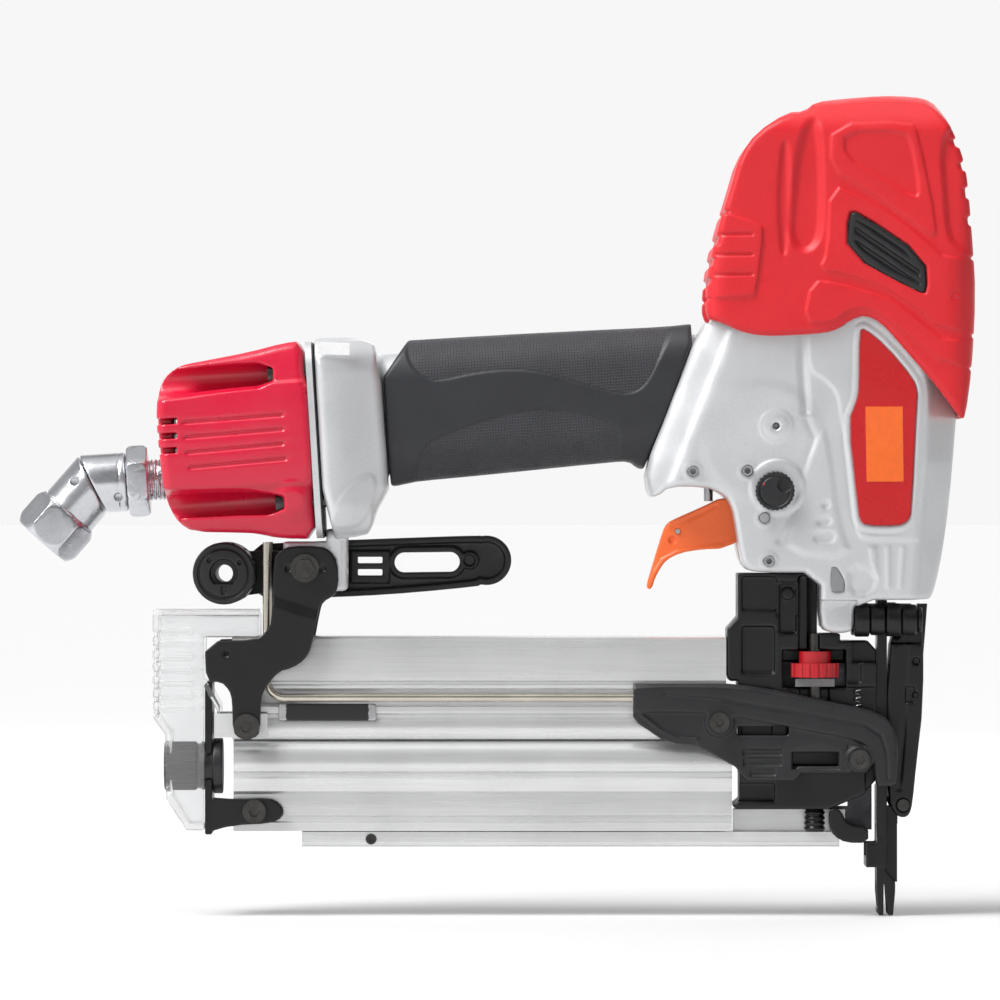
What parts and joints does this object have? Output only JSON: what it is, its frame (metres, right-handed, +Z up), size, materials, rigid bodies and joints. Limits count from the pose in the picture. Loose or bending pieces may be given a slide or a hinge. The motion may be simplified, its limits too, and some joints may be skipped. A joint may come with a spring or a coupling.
{
  "type": "flooring nailer",
  "caption": "Air-driven flooring nailer with an angled handle, side-loading straight magazine, swivel air plug, depth dial, contact foot and tool hook.",
  "frame": {"origin": "the tip of the contact foot on the drive axis, where the nails leave", "axes": "+X towards the front of the tool, away from the air plug; +Z up, against the drive direction; +Y to the side away from the depth dial"},
  "size_m": [0.3167, 0.0642, 0.271],
  "materials": {
    "cast_silver": "cast aluminium with a fine silver paint",
    "cover_red": "soft matte red plastic",
    "cap_red": "glossy red painted casting",
    "grip_rubber": "dark grey textured rubber",
    "black_plastic": "black glass-filled nylon",
    "black_steel": "black coated steel sheet",
    "black_screw": "black oxide screw",
    "steel": "bare ground steel",
    "dark_steel": "hardened dark steel",
    "nickel": "nickel plated wire",
    "chrome": "polished chrome plating",
    "extrusion": "clear anodised extrusion with long grain",
    "bare_aluminium": "turned aluminium",
    "trigger_orange": "orange plastic",
    "dial_red": "red plastic, knurled",
    "badge_red": "glossy film with a plain orange patch",
    "gasket_grey": "grey fibre gasket",
    "bumper_rubber": "black urethane",
    "filter_felt": "felt",
    "clear": "clear polycarbonate",
    "grey_plastic": "grey plastic"
  },
  "bodies": {
    "housing": {"main_housing": "cast_silver", "handle_grip": "grip_rubber", "head_cover": "cover_red", "vent_inserts": "black_plastic", "cylinder_cap": "bare_aluminium", "side_badges": "badge_red", "end_cap": "cap_red", "end_cap_gasket": "gasket_grey", "end_cap_screws": "black_screw", "exhaust_filter": "filter_felt", "swivel_nipple": "chrome", "cylinder_sleeve": "bare_aluminium", "bumper": "bumper_rubber", "trigger_valve_body": "black_plastic", "spring_pins": "steel", "nose_block": "black_plastic", "driver_guide": "black_steel", "front_guide": "black_steel", "door_pin": "black_screw", "clamp_collars": "black_steel", "dial_plate": "grey_plastic", "lever_cover": "black_plastic", "cover_screws": "black_screw", "nose_support": "black_steel", "magazine_rail": "extrusion", "bottom_rail": "extrusion", "wear_strip": "grey_plastic", "rear_brackets": "black_steel", "bracket_bolt": "black_screw", "spacer_plates": "extrusion", "magazine_screws": "black_screw", "stay_rods": "nickel"},
    "plug_elbow": {"swivel_elbow": "chrome"},
    "plug_arm": {"swivel_arm": "chrome"},
    "drive_piston": {"piston": "bare_aluminium", "driver_blade": "steel"},
    "air_valve": {"head_valve": "grey_plastic", "head_valve_spring": "steel"},
    "trigger": {"trigger": "trigger_orange"},
    "safety_lever": {"trigger_lever": "steel"},
    "valve_stem": {"trigger_valve_stem": "steel", "valve_spring": "steel"},
    "mode_knob": {"mode_knob": "black_plastic"},
    "nose_door": {"nose_door": "black_steel"},
    "door_latch": {"door_latch": "black_steel"},
    "contact": {"contact_foot": "black_steel", "contact_arm": "black_steel", "contact_spring": "steel"},
    "depth_dial": {"depth_dial": "dial_red", "dial_spindle": "black_screw"},
    "depth_stop": {"depth_stop": "dark_steel"},
    "magazine_slide": {"magazine_cover": "extrusion", "magazine_end_plate": "black_steel", "lug_screw": "black_screw", "magazine_window": "clear", "pusher_spring": "steel"},
    "latch_knob": {"latch_knob": "black_plastic"},
    "nail_pusher": {"pusher": "dark_steel"},
    "hook": {"hook_arm": "black_plastic", "hook_hub": "black_plastic"}
  },
  "joints": [
    {"name": "plug_spin", "type": "hinge", "parent": "housing", "child": "plug_elbow", "pos_m": [-0.238, 0, 0.1445], "axis": [-0.9979, 0, -0.0645], "continuous": true},
    {"name": "plug_turn", "type": "hinge", "parent": "plug_elbow", "child": "plug_arm", "pos_m": [-0.26255, 0, 0.14291], "axis": [-0.8973, 0, -0.4415], "continuous": true},
    {"name": "piston_stroke", "type": "slide", "parent": "housing", "child": "drive_piston", "axis": [0, 0, -1], "range_m": [0, 0.077]},
    {"name": "head_valve_lift", "type": "slide", "parent": "housing", "child": "air_valve", "axis": [0, 0, 1], "range_m": [0, 0.004], "stiffness_N_per_m": 400, "springref_m": -0.006, "deforming": ["head_valve_spring"]},
    {"name": "trigger_pull", "type": "hinge", "parent": "housing", "child": "trigger", "pos_m": [-0.0405, 0, 0.1317], "axis": [0, 1, 0], "range_deg": [0, 10], "stiffness_Nm_per_rad": 0.25, "springref_deg": -14.32},
    {"name": "safety_lever_rock", "type": "hinge", "parent": "trigger", "child": "safety_lever", "pos_m": [-0.0685, 0, 0.1272], "axis": [0, -1, 0], "range_deg": [0, 6], "stiffness_Nm_per_rad": 0.01, "springref_deg": -11.46},
    {"name": "valve_stem_push", "type": "slide", "parent": "housing", "child": "valve_stem", "axis": [0, 0, 1], "range_m": [0, 0.0031], "deforming": ["valve_spring"]},
    {"name": "mode_select", "type": "hinge", "parent": "housing", "child": "mode_knob", "pos_m": [-0.0371, -0.028, 0.1406], "axis": [0, 1, 0], "range_deg": [0, 90]},
    {"name": "door_open", "type": "hinge", "parent": "housing", "child": "nose_door", "pos_m": [0.0061, 0, 0.0366], "axis": [0, 1, 0], "range_deg": [0, 80]},
    {"name": "door_latch_lift", "type": "hinge", "parent": "nose_door", "child": "door_latch", "pos_m": [0.0102, 0, 0.073], "axis": [0, 1, 0], "range_deg": [0, 60]},
    {"name": "contact_press", "type": "slide", "parent": "housing", "child": "contact", "axis": [0, 0, 1], "range_m": [0, 0.008], "stiffness_N_per_m": 250, "springref_m": -0.01, "deforming": ["contact_spring"]},
    {"name": "depth_adjust", "type": "hinge", "parent": "housing", "child": "depth_dial", "pos_m": [-0.0232, -0.01, 0.079], "axis": [0, 0, 1], "range_deg": [-540, 540]},
    {"name": "depth_stop_shift", "type": "slide", "parent": "housing", "child": "depth_stop", "axis": [0, 0, 1], "range_m": [-0.0015, 0.0015]},
    {"name": "magazine_pull", "type": "slide", "parent": "housing", "child": "magazine_slide", "axis": [-1, 0, 0], "range_m": [0, 0.12]},
    {"name": "latch_push", "type": "slide", "parent": "magazine_slide", "child": "latch_knob", "axis": [1, 0, 0], "range_m": [0, 0.003], "stiffness_N_per_m": 300, "springref_m": -0.006},
    {"name": "pusher_run", "type": "slide", "parent": "housing", "child": "nail_pusher", "axis": [-1, 0, 0], "range_m": [0, 0.15], "stiffness_N_per_m": 15, "springref_m": -0.12},
    {"name": "hook_swing", "type": "hinge", "parent": "housing", "child": "hook", "pos_m": [-0.2188, 0, 0.1133], "axis": [0, 1, 0], "range_deg": [0, 180]}
  ],
  "couplings": [
    {"joint": "valve_stem_push", "follows": "trigger_pull", "m_per_rad": 0.017744},
    {"joint": "depth_adjust", "follows": "depth_stop_shift", "rad_per_m": 6276.9}
  ]
}
